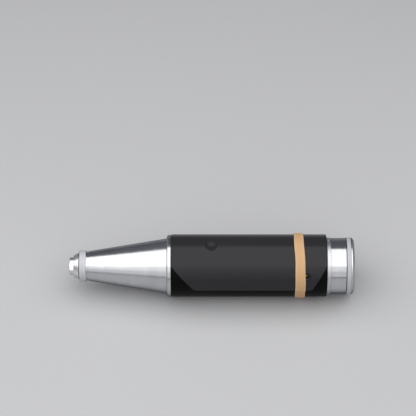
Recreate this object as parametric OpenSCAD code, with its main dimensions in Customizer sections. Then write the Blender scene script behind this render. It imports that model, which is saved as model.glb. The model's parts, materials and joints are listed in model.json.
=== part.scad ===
// Hand-held cordless glass grinder: a tapered aluminium nose with a collet chuck, a round black
// barrel with a wrapped grip panel, and a turned tail with a speed dial.
// The tool lies along X with its nose towards -X. The origin is the centre of the nose collar.
// Directions round the barrel are clock angles: 0 is +Y, 90 is +Z (the top), 180 is -Y.

/* [Collet chuck] */
// Radius of the tool shank that the collet takes
shank_r = 1.5; // [1:0.05:1.8]
// Radius of the collet nut's nose
nut_nose_r = 7.9; // [6.5:0.1:9]
// Length of the collet nut's nose
nut_nose_len = 3.7; // [2.5:0.1:6]
// Radius at the narrow end of the collet nut's taper
nut_shoulder_r = 9.8; // [9.2:0.1:10]
// Radius at the wide end of the collet nut
nut_base_r = 12; // [10:0.1:13.5]
// Length of the collet nut's taper
nut_taper_len = 4.8; // [4:0.1:9]
// Depth of the two spanner flats on the nut's nose
nut_flat_depth = 0.9; // [0.3:0.1:1.5]
// Radius of the thread that the nut turns on
nut_thread_r = 5.2; // [5:0.1:5.8]

/* [Nose] */
// Radius of the nose collar
collar_r = 14.25; // [13:0.05:17]
// Length of the nose collar
collar_len = 6.6; // [6:0.1:12]
// Radius at the bottom of the groove behind the collar
groove_r = 13; // [12:0.1:13.4]
// Width of the groove behind the collar
groove_len = 1.4; // [0.8:0.1:3]
// Radius of the cone's front end
cone_front_r = 13.5; // [13.2:0.1:17]
// How far the cone's rear end is set in from the barrel tube
cone_rear_drop = 2.9; // [1:0.1:2.9]
// Length of the cone
cone_len = 72.4; // [60:0.1:110]
// Length of the lock ring
lock_ring_len = 3.7; // [3:0.1:8]
// How far the lock ring stands out from the barrel tube
lock_ring_lip = 0.3; // [0:0.1:1]

/* [Spindle bearings] */
// Radius of the bearings' bore, and of the spindle in them
bearing_bore_r = 4; // [3.5:0.1:4.5]
// Outer radius of the bearings
bearing_r = 11; // [10.6:0.1:11.3]
// Width of the bearings
bearing_w = 7; // [6:0.1:9]
// Radius of the bearing balls
ball_r = 1.984; // [1.7:0.001:2.1]
// Number of balls in each bearing
ball_count = 7; // [5:1:8]

/* [Barrel] */
// Outer radius of the barrel tube
barrel_r = 28.2; // [27.5:0.1:36]
// Length of the barrel tube
barrel_len = 142.6; // [140:0.1:190]
// Wall thickness of the barrel tube
barrel_wall = 3; // [2:0.1:3.4]
// Thickness of the wrapped grip panel
panel_t = 0.96; // [0.6:0.01:1.5]
// Length of the panel's cut corners at the nose end
panel_front_cut = 21.2; // [10:0.1:30]
// Length of the panel's cut corners at the tail end
panel_rear_cut = 13.5; // [6:0.1:15]
// Clock angle above the panel's edge where its cut corners end
panel_cut_clock = 50; // [20:1:60]
// Distance of the power button from the barrel's nose end
button_from_front = 37; // [30:0.5:42]
// Radius of the power button
button_r = 4.3; // [3.6:0.1:5]
// Travel of the power button
button_travel = 1; // [0.5:0.1:1.2]
// Distance of the charging socket from the barrel's tail end
socket_from_rear = 19; // [18:0.5:24]
// Clock angle of the charging socket
socket_clock = 150; // [145:1:155]
// Radius of the charging socket's bezel
socket_bezel_r = 3.9; // [3.3:0.1:5]

/* [Storage band] */
// Width of the rubber band
band_w = 9.6; // [6:0.1:14]
// Thickness of the rubber band
band_t = 1.1; // [0.6:0.1:2]
// Distance of the band's centre from the barrel's tail end
band_from_rear = 24.9; // [18:0.1:60]

/* [Tail] */
// How far the tail sleeve's front ring is set in from the barrel tube
tail_ring_drop = 2.2; // [1:0.1:2.4]
// Length of the tail sleeve's front ring
tail_ring_len = 3.6; // [3.4:0.1:8]
// How far the tail sleeve's turned band is set in from the barrel tube
tail_drop = 2.6; // [1.4:0.1:3]
// Length of the tail sleeve
tail_len = 17.9; // [17.6:0.1:30]
// How far the speed dial is set in from the barrel tube
dial_drop = 2; // [0:0.1:3.5]
// Length of the speed dial that shows
dial_len = 7.1; // [6:0.1:14]

/* [Motor] */
// Radius of the motor can
can_r = 18.5; // [17:0.1:18.8]
// Length of the motor can
can_len = 55; // [50:0.1:57]
// Radius of the motor shaft
motor_shaft_r = 1.59; // [1.4:0.01:2.4]

/* [Battery] */
// Radius of one battery cell with its sleeve
cell_r = 9.2; // [8.5:0.1:9.3]
// Length of one battery cell
cell_len = 65; // [50:0.5:65]
// Gap between neighbouring cells
cell_gap = 0.5; // [0.3:0.1:0.8]

/* [Fits] */
// Radial clearance of parts that turn or slide on each other
run_gap = 0.05; // [0.02:0.01:0.1]
// Radial clearance of parts that are assembled and then stay still
seat_gap = 0.02; // [0.01:0.01:0.08]
// End gap between parts that turn past each other
end_gap = 0.3; // [0.2:0.05:0.6]

/* [Hidden] */
$fn = 96;
cut = 0.5; // how far a cutting shape runs past the face it cuts

// --- Stations along X ---
collar_front = -collar_len / 2;
collar_rear = collar_len / 2;
nut_rear = collar_front - 0.4;
nut_front = nut_rear - nut_taper_len - nut_nose_len;
cone_front = collar_rear + groove_len;
cone_rear = cone_front + cone_len;
barrel_front = cone_rear + lock_ring_len;
barrel_rear = barrel_front + barrel_len;
tail_rear = barrel_rear + tail_len;
dial_front = tail_rear + end_gap / 2;
dial_rear = tail_rear + dial_len;

// --- Chuck and spindle ---
collet_front = nut_front + 1.2;
collet_len = 14.8;
collet_r = 3;
collet_head_r = 4.2;
collet_head_len = 1.4;
collet_land = 0.2;
collet_taper_len = 5;
collet_slot = 0.5;
collet_mouth_r = 3.4;
spindle_front = nut_front + 3;
flange_r = 6.2;
flange_front = nut_rear + 0.2;

// --- Bearings ---
bearing_seat_depth = 1.6;
front_bearing_x = cone_front + bearing_seat_depth;
front_bearing_end = front_bearing_x + bearing_w;
rear_bearing_x = cone_rear - 29.3;
rear_bearing_end = rear_bearing_x + bearing_w;
ball_pitch_r = (bearing_bore_r + bearing_r) / 2;
race_land = 1.5;
groove_ball_r = ball_r + run_gap;
washer_space = 1.4;
washer_t = 0.4;
bore_between_r = bearing_r - 2;
circlip_t = 1.2;
circlip_depth = 0.4;

// --- Nose cone's inside and rear spigot ---
cone_rear_r = barrel_r - cone_rear_drop;
barrel_in_r = barrel_r - barrel_wall;
spigot_r = barrel_in_r - seat_gap;
spigot_rear = cone_rear + 11.7;
plate_front = cone_rear + 1.7;
plate_t = 4;
plate_rear = plate_front + plate_t;
plate_pocket_r = spigot_r - 3.2;
plate_r = plate_pocket_r - seat_gap;
chamber_r = 16;
chamber_front = rear_bearing_end + 5;
o_ring_r = 0.8;
nose_groove_x = plate_rear + 2.5;

// --- Motor, of the common 37 mm class ---
can_front = plate_rear;
can_rear = can_front + can_len;
can_wall = 1;
boss_r = 6.5;
boss_len = 4.7;
bush_r = 3.5;
bush_len = 4;
bush_bore_r = motor_shaft_r + 0.03;
end_cap_len = 8;
end_cap_rear = can_rear + 2;
end_cap_disc = 4;
magnet_t = 2.9;
magnet_width = 74;
magnet_past = 2;
magnet_in_r = can_r - can_wall - magnet_t;
armature_r = magnet_in_r - 0.6;
core_front = can_front + 9;
core_rear = can_rear - 16;
winding_overhang = 4.5;
commutator_r = 4.5;
commutator_front = can_rear - 10;
commutator_len = 7.5;
bar_slot = 0.5;
bar_slot_depth = 0.6;
brush_x = commutator_front + 1.5;
brush_len = 4.5;
brush_w = 4;
brush_h = 5;
pole_count = 5;
motor_hole_r = 12.5;
screw_r = 1.48;
thread_hole_r = 1.5;
clear_hole_r = 1.6;
head_r = 2.75;
head_len = 2.4;
plate_head_r = 2.5;
plate_hole_r = plate_r - plate_head_r - 0.2;
plate_screw_len = 9.4;
plate_screw_clocks = [90, 210, 330];

// --- Jaw coupling between spindle and motor ---
hub_r = 9;
hub_len = 6.5;
jaw_len = 6;
jaw_in_r = 3.6;
jaw_width = 40;
spider_width = 19;
boss_front = can_front - boss_len;
rear_hub_rear = boss_front - 0.8;
rear_hub_front = rear_hub_rear - hub_len;
front_hub_rear = rear_hub_front - jaw_len;
front_hub_front = front_hub_rear - hub_len;

// --- Motor cradle and power switch ---
board_t = 1.2;
board_bottom = can_r + 0.8;
board_top = board_bottom + board_t;
switch_side = 6;
switch_h = 3;
switch_top = board_top + switch_h;
plunger_r = 1.7;
button_x = barrel_front + button_from_front;
switch_board_len = 20;
switch_board_w = 12;
cradle_front = button_x + switch_board_len / 2 + 1;
cradle_len = 6;
tongue_front = button_x - switch_board_len / 2;
button_stem_r = 2;
button_flange_r = button_r + 0.8;
button_flange_t = 1.1;
button_shoulder = barrel_r - 1.8;
button_top = barrel_r + panel_t - 0.4;
dish_r = 14.8;
dish_depth = 0.6;
plunger_top = switch_top + button_travel + 0.3;
bezel_r = button_r + 1.3;
bezel_seat = barrel_r - 0.3;
bezel_top = barrel_r + panel_t + 0.15;
spring_r = button_r + 0.4;
spring_wire_r = 0.25;
spring_turns = 4;
spring_bottom = board_top;
spring_top = button_shoulder - 0.1 - button_flange_t;

// --- Charging socket, for a 3.5 mm round plug ---
socket_x = barrel_rear - socket_from_rear;
plug_r = 1.8;
plug_depth = 9;
socket_neck_r = 2.95;
socket_neck_base = barrel_in_r - 0.7;
socket_body_w = 8.6;
socket_body_base = socket_neck_base - 10.5;
socket_seat = barrel_r - 1.3;
socket_face = barrel_r + panel_t - 0.28;
charge_pin_r = 0.65;

// --- Battery pack and control board ---
ledge_x = barrel_rear - 6.6;
neck_bore_r = barrel_in_r - 4.2;
neck_r = neck_bore_r + 2.4;
neck_rear = barrel_rear + 10.4;
control_t = 1.6;
control_front = ledge_x - control_t;
holder_r = barrel_in_r - 0.3;
holder_plate = 1.7;
holder_len = 7.5;
link_t = 0.3;
link_reach = 2;
rear_holder_rear = control_front - 1.9;
cells_rear = rear_holder_rear - holder_plate - link_t;
cells_front = cells_rear - cell_len;
front_holder_front = cells_front - link_t - holder_plate;
cell_pitch_r = (2 * cell_r + cell_gap) / sqrt(3);
cell_clocks = [90, 210, 330];
wire_r = 0.8;
thin_wire_r = 0.6;
motor_wire_out = 16.5;
wire_half_gap = 1.2;
switch_wire_z = board_top + thin_wire_r;
switch_wire_x = button_x + spring_r + 2 * spring_wire_r + 0.2;

// --- Tail and speed dial ---
tail_ring_r = barrel_r - tail_ring_drop;
tail_r = barrel_r - tail_drop;
dial_r = barrel_r - dial_drop;
sleeve_bore_r = neck_r + seat_gap;
web_front = neck_rear;
web_t = 3;
web_rear = web_front + web_t;
dial_spigot_r = neck_bore_r + 0.9;
dial_seat_r = dial_spigot_r + run_gap;
dial_spigot_front = web_rear + 1.7;
dial_spigot_wall = 2;
dial_floor = dial_rear - 3.1;
dial_hub_r = 5.5;
dial_round = 1.5;
insert_r = 20;
insert_t = 0.8;
pot_r = 8;
pot_len = 8;
pot_bush_r = 3.5;
pot_shaft_r = pot_bush_r - 0.5;
pot_shaft_front = web_front + 1.4;
set_screw_x = barrel_rear + 1.8;
set_screw_clocks = [188, 308, 68];
set_screw_key_r = 0.75;
tail_groove_x = barrel_rear + 7;

// --- Small generators ---
function arc(r, from, to, steps = 48) =
  [for (i = [0:steps]) let (a = from + (to - from) * i / steps) [r * cos(a), r * sin(a)]];

// A body turned about X from an outline of [radius, x] points
module turned(outline)
  rotate([0, 90, 0]) rotate_extrude() polygon(outline);

module disc(x0, x1, r)
  translate([x0, 0, 0]) rotate([0, 90, 0]) cylinder(r = r, h = x1 - x0);

module tube(x0, x1, outer, inner)
  difference() {
    disc(x0, x1, outer);
    disc(x0 - cut, x1 + cut, inner);
  }

// Flat outline drawn in (Y, Z), from x0 to x1
module slab(x0, x1)
  translate([x0, 0, 0]) rotate([90, 0, 90]) linear_extrude(height = x1 - x0) children();

// Places children, drawn along +Z, so that they point outwards at a clock angle
module radial(x, clock)
  translate([x, 0, 0]) rotate([clock - 90, 0, 0]) children();

// A straight rod parallel to the axis, at a clock angle and a distance out from it
module rod(x0, x1, clock, out, r)
  rotate([clock, 0, 0]) translate([0, out, 0]) disc(x0, x1, r);

// A wedge in (Y, Z) about a clock angle
module wedge(clock, width, r)
  polygon([[0, 0], r * [cos(clock - width / 2), sin(clock - width / 2)],
           r * [cos(clock + width / 2), sin(clock + width / 2)]]);

module sector(x0, x1, inner, outer, clock, width)
  slab(x0, x1) intersection() {
    difference() {
      circle(outer);
      circle(inner);
    }
    wedge(clock, width, outer * 2);
  }

module torus(x, centre_r, section_r)
  translate([x, 0, 0]) rotate([0, 90, 0]) rotate_extrude()
    translate([centre_r, 0]) circle(section_r);

// Spring-steel coil along Z, swept as a closed mesh
module coil(r, wire, turns, bottom, top) {
  steps = 20 * turns;
  sides = 6;
  rise = top - bottom - 2 * wire;
  points = [
    for (i = [0:steps], k = [0:sides - 1])
      let (a = 360 * turns * i / steps, b = 360 * k / sides, out = r + wire * cos(b))
      [out * cos(a), out * sin(a), bottom + wire + rise * i / steps + wire * sin(b)]
  ];
  skin = [
    for (i = [0:steps - 1], k = [0:sides - 1])
      let (p = i * sides, n = (k + 1) % sides)
      [p + k, p + n, p + sides + n, p + sides + k]
  ];
  first = [for (k = [sides - 1:-1:0]) k];
  last = [for (k = [0:sides - 1]) steps * sides + k];
  polyhedron(points, concat(skin, [first, last]));
}

// --- Collet chuck ---
module collet_nut() color("gainsboro") {
  seat_end = nut_front + 2.6;
  edge = 0.4;
  flat_len = nut_nose_len - 0.5;
  difference() {
    turned([
      [2.6, nut_front], [nut_nose_r - edge, nut_front], [nut_nose_r, nut_front + edge],
      [nut_nose_r, nut_front + nut_nose_len], [nut_shoulder_r, nut_front + nut_nose_len],
      [nut_base_r, nut_rear - edge], [nut_base_r - edge, nut_rear],
      [nut_thread_r + run_gap, nut_rear], [nut_thread_r + run_gap, seat_end],
      [collet_head_r + run_gap, seat_end], [collet_mouth_r + run_gap, collet_front - run_gap],
      [2.6, collet_front - run_gap]
    ]);
    for (clock = [131, 311])
      radial(nut_front, clock) translate([-cut, -nut_nose_r, nut_nose_r - nut_flat_depth])
        cube([flat_len + cut, 2 * nut_nose_r, nut_nose_r]);
  }
}

module collet() color("silver") {
  head_end = collet_front + collet_head_len;
  taper_front = head_end + collet_land;
  taper_rear = taper_front + collet_taper_len;
  difference() {
    turned([
      [shank_r, collet_front], [collet_mouth_r, collet_front], [collet_head_r, head_end],
      [collet_head_r, taper_front], [collet_r, taper_rear],
      [collet_r, collet_front + collet_len], [shank_r, collet_front + collet_len]
    ]);
    for (clock = [30, 150, 270])
      radial(collet_front, clock)
        translate([-cut, -collet_slot / 2, shank_r / 2]) cube([10 + cut, collet_slot, collet_r * 2]);
  }
}

module spindle() color("lightgray") {
  taper_front = collet_front + collet_head_len + collet_land;
  taper_rear = taper_front + collet_taper_len;
  mouth_r = collet_r + seat_gap
    + (collet_head_r - collet_r) * (taper_rear - spindle_front) / collet_taper_len;
  pocket_end = collet_front + collet_len + 0.1;
  deep_hole_r = shank_r + 0.2;
  deep_hole_end = pocket_end + 14;
  groove_x = rear_bearing_end;
  difference() {
    turned([
      [0, spindle_front], [nut_thread_r, spindle_front], [nut_thread_r, flange_front],
      [flange_r, flange_front], [flange_r, front_bearing_x], [bearing_bore_r, front_bearing_x],
      [bearing_bore_r, front_hub_rear], [0, front_hub_rear]
    ]);
    turned([
      [0, spindle_front - cut], [mouth_r, spindle_front - cut], [mouth_r, spindle_front],
      [collet_r + seat_gap, taper_rear], [collet_r + seat_gap, pocket_end],
      [deep_hole_r, pocket_end], [deep_hole_r, deep_hole_end], [0, deep_hole_end]
    ]);
    tube(groove_x, groove_x + circlip_t, bearing_bore_r + cut, bearing_bore_r - circlip_depth);
  }
}

module spindle_spacer() color("darkgray")
  tube(front_bearing_end, rear_bearing_x, bearing_bore_r + 1.4, bearing_bore_r);

module spindle_circlip() color("dimgray") {
  x0 = rear_bearing_end;
  difference() {
    tube(x0, x0 + circlip_t, bearing_bore_r + 1.6, bearing_bore_r - circlip_depth);
    slab(x0 - cut, x0 + circlip_t + cut) wedge(90, 50, 2 * bearing_r);
  }
}

// --- Nose ---
module front_retainer() color("lightgray") {
  edge = 0.3;
  lip = collar_front + 1.2;
  pocket = collar_front + 5.2;
  spigot_end = front_bearing_x - 0.1;
  turned([
    [flange_r + 0.4, collar_front], [collar_r - edge, collar_front],
    [collar_r, collar_front + edge], [collar_r, collar_rear - edge],
    [collar_r - edge, collar_rear], [groove_r, collar_rear], [groove_r, cone_front],
    [bearing_r - seat_gap, cone_front], [bearing_r - seat_gap, spigot_end],
    [flange_r + 1.8, spigot_end], [flange_r + 1.8, pocket], [flange_r + 2.8, pocket],
    [flange_r + 2.8, lip], [flange_r + 0.4, lip]
  ]);
}

module front_seal() color("black") {
  x0 = collar_front + 1.2;
  x1 = collar_front + 5.2;
  turned([
    [flange_r + 2.8, x0], [flange_r + 2.8, x1], [flange_r + 2, x1], [flange_r + 1.4, x0 + 1.5],
    [flange_r + run_gap, x0 + 1.5], [flange_r + run_gap + 0.3, x0]
  ]);
}

module nose_cone() color("silver") {
  round_r = 0.6;
  o_groove = nose_groove_x;
  screw_hole_end = plate_front - (plate_screw_len - head_len) - 0.6;
  difference() {
    turned([
      [bore_between_r, cone_front], [cone_front_r, cone_front], [cone_rear_r, cone_rear],
      [spigot_r, cone_rear], [spigot_r, spigot_rear - round_r], [spigot_r - round_r, spigot_rear],
      [bore_between_r, spigot_rear]
    ]);
    disc(cone_front - cut, front_bearing_end, bearing_r);
    disc(rear_bearing_x - washer_space, chamber_front + cut, bearing_r);
    disc(chamber_front, plate_front + cut, chamber_r);
    disc(plate_front, spigot_rear + cut, plate_pocket_r);
    tube(o_groove - o_ring_r, o_groove + o_ring_r, spigot_r + cut, spigot_r - 2 * o_ring_r);
    for (clock = plate_screw_clocks)
      rod(screw_hole_end, plate_front + cut, clock, plate_hole_r, thread_hole_r);
  }
}

module nose_o_ring() color("black")
  torus(nose_groove_x, spigot_r - o_ring_r, o_ring_r - 0.01);

module nose_lock_ring() color("silver") {
  edge = 0.6;
  ring_r = barrel_r + lock_ring_lip;
  turned([
    [spigot_r + seat_gap, cone_rear], [ring_r - 2 * edge, cone_rear], [ring_r, cone_rear + edge],
    [ring_r, barrel_front - edge / 2], [ring_r - edge / 2, barrel_front],
    [spigot_r + seat_gap, barrel_front]
  ]);
}

// --- Deep-groove bearings ---
module bearing_outer(x) color("silver")
  difference() {
    tube(x, x + bearing_w, bearing_r, bearing_r - 2);
    torus(x + bearing_w / 2, ball_pitch_r, groove_ball_r);
  }

module bearing_inner(x) color("gainsboro")
  difference() {
    tube(x, x + bearing_w, bearing_bore_r + 2, bearing_bore_r);
    torus(x + bearing_w / 2, ball_pitch_r, groove_ball_r);
  }

module bearing_balls(x) color("lightsteelblue") {
  middle = x + bearing_w / 2;
  cage_half = ball_r + 0.5;
  for (i = [0:ball_count - 1])
    rotate([i * 360 / ball_count, 0, 0]) translate([middle, ball_pitch_r, 0]) sphere(ball_r);
  difference() {
    tube(middle - cage_half, middle + cage_half, ball_pitch_r + 0.6, ball_pitch_r - 0.6);
    for (i = [0:ball_count - 1])
      rotate([i * 360 / ball_count, 0, 0]) translate([middle, ball_pitch_r, 0])
        sphere(groove_ball_r);
  }
}

module front_bearing_outer() bearing_outer(front_bearing_x);
module front_bearing_inner() bearing_inner(front_bearing_x);
module front_bearing_balls() bearing_balls(front_bearing_x);
module rear_bearing_outer() bearing_outer(rear_bearing_x);
module rear_bearing_inner() bearing_inner(rear_bearing_x);
module rear_bearing_balls() bearing_balls(rear_bearing_x);

// Three-wave spring washer, swept as a closed mesh
module preload_washer() color("slategray") {
  steps = 36;
  middle = rear_bearing_x - washer_space / 2;
  swing = (washer_space - washer_t) / 2 - 0.02;
  outer = bearing_r - 0.1;
  inner = bearing_r - 1.6;
  section = [[inner, -1], [outer, -1], [outer, 1], [inner, 1]];
  points = [
    for (i = [0:steps - 1], k = [0:3])
      let (a = 360 * i / steps, r = section[k][0])
      [middle + swing * cos(3 * a) + section[k][1] * washer_t / 2, r * cos(a), r * sin(a)]
  ];
  faces = [
    for (i = [0:steps - 1], k = [0:3], half = [0, 1])
      let (p = 4 * i, q = 4 * ((i + 1) % steps), n = (k + 1) % 4)
      half == 0 ? [p + k, q + n, p + n] : [p + k, q + k, q + n]
  ];
  polyhedron(points, faces);
}

// --- Jaw coupling ---
module coupling_hub_front() color("darkgray") {
  tube(front_hub_front, front_hub_rear, hub_r, bearing_bore_r);
  for (clock = [0, 120, 240])
    sector(front_hub_rear - 0.1, rear_hub_front - 0.2, jaw_in_r + 1, hub_r, clock, jaw_width);
}

module coupling_spider() color("firebrick") {
  x0 = front_hub_rear + 0.2;
  x1 = rear_hub_front - 0.2;
  tube(x0, x1, jaw_in_r + 0.9, jaw_in_r - 1);
  for (i = [0:5])
    sector(x0, x1, jaw_in_r + 0.8, hub_r, 30 + 60 * i, spider_width);
}

module coupling_hub_rear() color("darkgray") {
  tube(rear_hub_front, rear_hub_rear, hub_r, motor_shaft_r);
  for (clock = [60, 180, 300])
    sector(front_hub_rear + 0.2, rear_hub_front + 0.1, jaw_in_r + 1, hub_r, clock, jaw_width);
}

// --- Motor ---
module motor_plate() color("silver")
  difference() {
    tube(plate_front, plate_rear, plate_r, boss_r + seat_gap);
    for (clock = [0, 180])
      rod(plate_front - cut, plate_rear + cut, clock, motor_hole_r, clear_hole_r);
    for (clock = plate_screw_clocks) {
      rod(plate_front - cut, plate_rear + cut, clock, plate_hole_r, clear_hole_r);
      rod(plate_rear - head_len - 0.2, plate_rear + cut, clock, plate_hole_r, plate_head_r + 0.05);
    }
  }

module plate_screws() color("dimgray")
  for (clock = plate_screw_clocks) {
    head_front = plate_rear - head_len - 0.2;
    difference() {
      union() {
        rod(plate_front - plate_screw_len + head_len, head_front + 0.1, clock, plate_hole_r, screw_r);
        rod(head_front, plate_rear - 0.2, clock, plate_hole_r, plate_head_r);
      }
      rotate([clock, 0, 0]) translate([plate_rear - 1.6, plate_hole_r, 0]) rotate([0, 90, 0])
        cylinder(r = 1.25, h = 2, $fn = 6);
    }
  }

module motor_screws() color("dimgray")
  for (clock = [0, 180])
    difference() {
      union() {
        rod(plate_front, can_front + 2.5, clock, motor_hole_r, screw_r);
        rod(plate_front - head_len, plate_front, clock, motor_hole_r, head_r);
      }
      rotate([clock, 0, 0]) translate([plate_front - head_len - cut, motor_hole_r, 0])
        rotate([0, 90, 0]) cylinder(r = 1.4, h = 1.4 + cut, $fn = 6);
    }

module motor_can() color("slategray")
  difference() {
    union() {
      disc(can_front, can_rear, can_r);
      disc(boss_front, can_front + 0.1, boss_r);
    }
    disc(can_front + can_wall, can_rear + cut, can_r - can_wall);
    disc(boss_front - cut, can_front + can_wall + cut, motor_shaft_r + 0.6);
    disc(boss_front + 0.6, can_front + can_wall + cut, bush_r);
    for (clock = [0, 180])
      rod(can_front - cut, can_front + can_wall + cut, clock, motor_hole_r, thread_hole_r);
  }

module motor_magnets() color("dimgray")
  for (clock = [0, 180])
    sector(core_front - magnet_past, core_rear + magnet_past, magnet_in_r, can_r - can_wall,
           clock, magnet_width);

module motor_bushes() color("goldenrod") {
  tube(boss_front + 0.6, boss_front + 0.6 + bush_len, bush_r, bush_bore_r);
  tube(end_cap_rear - bush_len + 0.5, end_cap_rear + 0.5, bush_r, bush_bore_r);
}

module motor_shaft() color("lightgray")
  disc(rear_hub_front + 0.2, end_cap_rear, motor_shaft_r);

module armature_core() color("gray")
  slab(core_front, core_rear) difference() {
    circle(armature_r);
    circle(motor_shaft_r);
    for (i = [0:pole_count - 1])
      rotate(i * 360 / pole_count) {
        translate([armature_r * 0.66, 0]) circle(armature_r * 0.23);
        translate([armature_r * 0.66, -armature_r * 0.07])
          square([armature_r, armature_r * 0.14]);
      }
  }

module armature_windings() color("chocolate") {
  end_r = armature_r * 0.9;
  front = core_front - winding_overhang;
  rear = core_rear + winding_overhang;
  tube(front, core_front - 0.1, end_r, motor_shaft_r + 2);
  tube(core_rear + 0.1, rear, end_r, motor_shaft_r + 2);
  for (i = [0:pole_count - 1])
    rod(front + 0.5, rear - 0.5, i * 360 / pole_count, armature_r * 0.66, armature_r * 0.22);
}

module commutator() color("peru")
  difference() {
    tube(commutator_front, commutator_front + commutator_len, commutator_r, motor_shaft_r);
    for (i = [0:pole_count - 1])
      rotate([i * 360 / pole_count, 0, 0])
        translate([commutator_front - cut, commutator_r - bar_slot_depth, -bar_slot / 2])
          cube([commutator_len + 2 * cut, 2 * bar_slot_depth, bar_slot]);
  }

module carbon_brushes() color("darkslategray")
  for (clock = [90, 270])
    radial(brush_x, clock)
      translate([0, -brush_w / 2, commutator_r + run_gap]) cube([brush_len, brush_w, brush_h]);

module motor_end_cap() color("black")
  difference() {
    union() {
      disc(can_rear - end_cap_disc + 2, end_cap_rear, can_r - can_wall);
      for (clock = [90, 270])
        radial(brush_x - 1, clock)
          translate([0, -brush_w / 2 - 1.2, commutator_r + 1.2])
            cube([can_rear - commutator_front, brush_w + 2.4, brush_h + 1.2]);
    }
    for (clock = [90, 270])
      radial(brush_x, clock)
        translate([-run_gap, -brush_w / 2 - run_gap, commutator_r])
          cube([brush_len + 2 * run_gap, brush_w + 2 * run_gap, brush_h + 2 * run_gap]);
    disc(can_rear - end_cap_disc, end_cap_rear + cut, motor_shaft_r + 0.6);
    disc(end_cap_rear - bush_len + 0.5, end_cap_rear + cut, bush_r);
  }

// Plastic ring that centres the motor in the barrel, with a tongue that carries the switch board
module motor_cradle() color("darkslategray")
  difference() {
    union() {
      disc(cradle_front, cradle_front + cradle_len, barrel_in_r - seat_gap);
      translate([tongue_front, -switch_board_w / 2, 0])
        cube([cradle_front - tongue_front + 1, switch_board_w, board_bottom]);
    }
    disc(tongue_front - cut, cradle_front + cradle_len + cut, can_r + seat_gap);
    translate([cradle_front - cut, -wire_half_gap - 1, board_bottom + board_t - 0.2])
      cube([cradle_len + 2 * cut, 2 * wire_half_gap + 2, barrel_in_r]);
  }

// --- Barrel ---
module button_hole(r, base)
  radial(button_x, 90) translate([0, 0, base]) cylinder(r = r, h = 2 * barrel_r);

module socket_hole(r, base)
  radial(socket_x, socket_clock) translate([0, 0, base]) cylinder(r = r, h = 2 * barrel_r);

module barrel() color("black") {
  difference() {
    turned([
      [barrel_in_r, barrel_front], [barrel_r - 0.3, barrel_front], [barrel_r, barrel_front + 0.3],
      [barrel_r, barrel_rear - 0.6], [barrel_r - 0.6, barrel_rear], [neck_r, barrel_rear],
      [neck_r, neck_rear - cut], [neck_r - cut, neck_rear], [neck_bore_r, neck_rear],
      [neck_bore_r, ledge_x], [barrel_in_r, ledge_x]
    ]);
    radial(button_x, 90) translate([0, 0, barrel_in_r - 2])
      cylinder(r = button_flange_r + 0.2, h = button_shoulder - barrel_in_r + 2);
    button_hole(button_r + 0.1, barrel_in_r);
    button_hole(bezel_r + seat_gap, bezel_seat);
    socket_hole(socket_neck_r + seat_gap, barrel_in_r - 2);
    socket_hole(socket_bezel_r + seat_gap, socket_seat);
    tube(tail_groove_x - o_ring_r, tail_groove_x + o_ring_r, neck_r + cut, neck_r - 2 * o_ring_r);
  }
}

// Cuts one corner off the panel: a prism along the radius at half the cut's clock angle
module panel_corner(x_end, x_edge, side) {
  middle = panel_cut_clock / 2;
  r = barrel_r + panel_t;
  low = r * sin(-middle);
  high = r * sin(panel_cut_clock - middle);
  past = (x_end - x_edge) * 0.2;
  drop = (high - low) * 0.2;
  mirror([0, side > 0 ? 0 : 1, 0]) rotate([middle, 0, 0]) rotate([90, 0, 90])
    rotate([0, 90, 0]) linear_extrude(height = 2 * r)
      polygon([
        [-(x_edge - past), low - drop], [-(x_end + past), high + drop],
        [-(x_end + 3 * past), high + drop], [-(x_end + 3 * past), low - drop]
      ]);
}

module grip_panel() color("#3c3a3d") {
  difference() {
    intersection() {
      tube(barrel_front + 0.3, barrel_rear - 0.6, barrel_r + panel_t, barrel_r);
      translate([barrel_front - cut, -2 * barrel_r, 0])
        cube([barrel_len + 2 * cut, 4 * barrel_r, 2 * barrel_r]);
    }
    for (side = [1, -1]) {
      panel_corner(barrel_front + 0.3, barrel_front + 0.3 + panel_front_cut, side);
      panel_corner(barrel_rear - 0.6, barrel_rear - 0.6 - panel_rear_cut, side);
    }
    button_hole(bezel_r + seat_gap, 0);
    socket_hole(socket_bezel_r + seat_gap, 0);
  }
}

// --- Power switch ---
module power_button() color("black")
  radial(button_x, 90) {
    flange_base = button_shoulder - 0.1 - button_flange_t;
    difference() {
      union() {
        translate([0, 0, flange_base]) cylinder(r = button_r, h = button_top - flange_base);
        translate([0, 0, flange_base]) cylinder(r = button_flange_r, h = button_flange_t);
        translate([0, 0, plunger_top]) cylinder(r = button_stem_r, h = flange_base - plunger_top + 0.1);
      }
      translate([0, 0, button_top - dish_depth + dish_r]) sphere(dish_r);
    }
  }

module button_bezel() color("#202022")
  radial(button_x, 90) difference() {
    translate([0, 0, bezel_seat]) cylinder(r = bezel_r, h = bezel_top - bezel_seat);
    translate([0, 0, bezel_seat - cut]) cylinder(r = button_r + 0.1, h = 4);
    translate([0, 0, bezel_top - 0.5]) cylinder(r1 = button_r + 0.1, r2 = button_r + 0.7, h = 0.6);
  }

module button_spring() color("silver")
  translate([button_x, 0, 0])
    coil(spring_r, spring_wire_r, spring_turns, spring_bottom, spring_top);

module switch_plunger() color("whitesmoke")
  radial(button_x, 90) translate([0, 0, board_top + button_travel + 0.4])
    cylinder(r = plunger_r, h = plunger_top - board_top - button_travel - 0.4);

module switch_body() color("dimgray")
  radial(button_x, 90) difference() {
    translate([-switch_side / 2, -switch_side / 2, board_top])
      cube([switch_side, switch_side, switch_h]);
    translate([0, 0, board_top + 0.3]) cylinder(r = plunger_r + run_gap, h = switch_h);
  }

module switch_board() color("darkgreen")
  translate([tongue_front, -switch_board_w / 2, board_bottom])
    cube([switch_board_len, switch_board_w, board_t]);

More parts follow.
